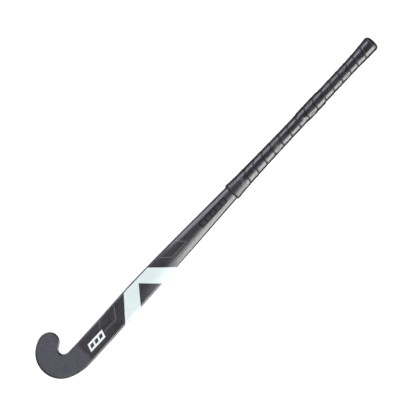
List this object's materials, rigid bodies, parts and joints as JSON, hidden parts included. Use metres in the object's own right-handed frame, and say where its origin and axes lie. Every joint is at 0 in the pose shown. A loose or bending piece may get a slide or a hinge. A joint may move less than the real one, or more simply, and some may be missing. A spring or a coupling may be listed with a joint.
{
  "type": "field hockey stick",
  "caption": "Composite field hockey stick with a curved hook, bowed shaft, flat playing face, pale chevron band and a spiral-wrapped black grip with a raised finger band.",
  "frame": {"origin": "middle of the stick's length and width, on the surface it lies on with its playing face up", "axes": "+X from the head to the butt, +Y toward the toe of the hook, +Z out of the playing face"},
  "size_m": [0.9269, 0.109, 0.046],
  "materials": {
    "laminate": "satin lacquer over charcoal composite",
    "core": "rigid closed-cell foam",
    "web": "composite web",
    "head_insert": "dense moulded head core",
    "grip_rubber": "satin black polyurethane wrap",
    "adhesive": "adhesive-backed underlay",
    "tape": "smooth black finishing tape",
    "cap_rubber": "moulded rubber",
    "head_coat": "matte grained blue-grey coat",
    "mint_print": "pale mint print under lacquer",
    "carbon_film": "woven carbon-look film",
    "line_print": "light grey line print",
    "white_print": "white print",
    "tone_print": "dark tone-on-tone print"
  },
  "bodies": {
    "root": {"laminate_shell": "laminate", "head_core": "head_insert", "foam_core_toe_side": "core", "foam_core_heel_side": "core", "foam_core_web": "web", "butt_cap": "cap_rubber", "grip_underlay": "adhesive", "grip_build_up_band": "adhesive", "grip_wrap": "grip_rubber", "grip_finishing_tape": "tape", "head_face_coat": "head_coat", "chevron_decal": "mint_print", "lower_carbon_film": "carbon_film", "upper_carbon_film": "carbon_film", "lower_outline_decal": "line_print", "lower_outline_tick": "line_print", "upper_outline_decal": "line_print", "lower_emblem_decal": "white_print", "upper_emblem_decal": "tone_print"}
  },
  "joints": []
}
